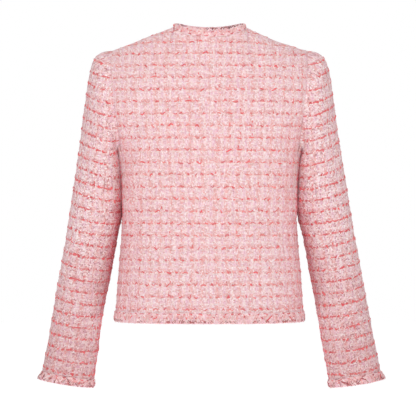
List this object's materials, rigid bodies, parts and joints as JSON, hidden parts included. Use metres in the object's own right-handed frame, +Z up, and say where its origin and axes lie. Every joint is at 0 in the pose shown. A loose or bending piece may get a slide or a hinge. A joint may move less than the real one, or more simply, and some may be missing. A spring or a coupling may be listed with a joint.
{
  "type": "cropped tweed jacket",
  "caption": "Collarless cropped tweed jacket, hollow and filled out as worn, with a straight short body, long set-in two-piece sleeves and frayed trims at neck, hem and cuffs.",
  "frame": {"origin": "midway between the two high shoulder points, where the wearer's shoulders and neck hold the jacket", "axes": "+Z up along the wearer's back, front towards -Y, wearer's left towards +X"},
  "size_m": [0.6385, 0.2372, 0.6716],
  "materials": {
    "tweed": "rough boucle tweed in pinks, cream and coral, matt with a soft nap",
    "frayed_trim": "frayed tweed edging, loose matt yarns"
  },
  "bodies": {
    "root": {"back_left": "tweed", "back_right": "tweed", "front_left": "tweed", "front_right": "tweed", "side_panel_left": "tweed", "side_panel_right": "tweed", "upper_sleeve_left": "tweed", "upper_sleeve_right": "tweed", "under_sleeve_left": "tweed", "under_sleeve_right": "tweed", "neck_trim": "frayed_trim", "hem_trim": "frayed_trim", "cuff_trim_left": "frayed_trim", "cuff_trim_right": "frayed_trim"}
  },
  "joints": []
}
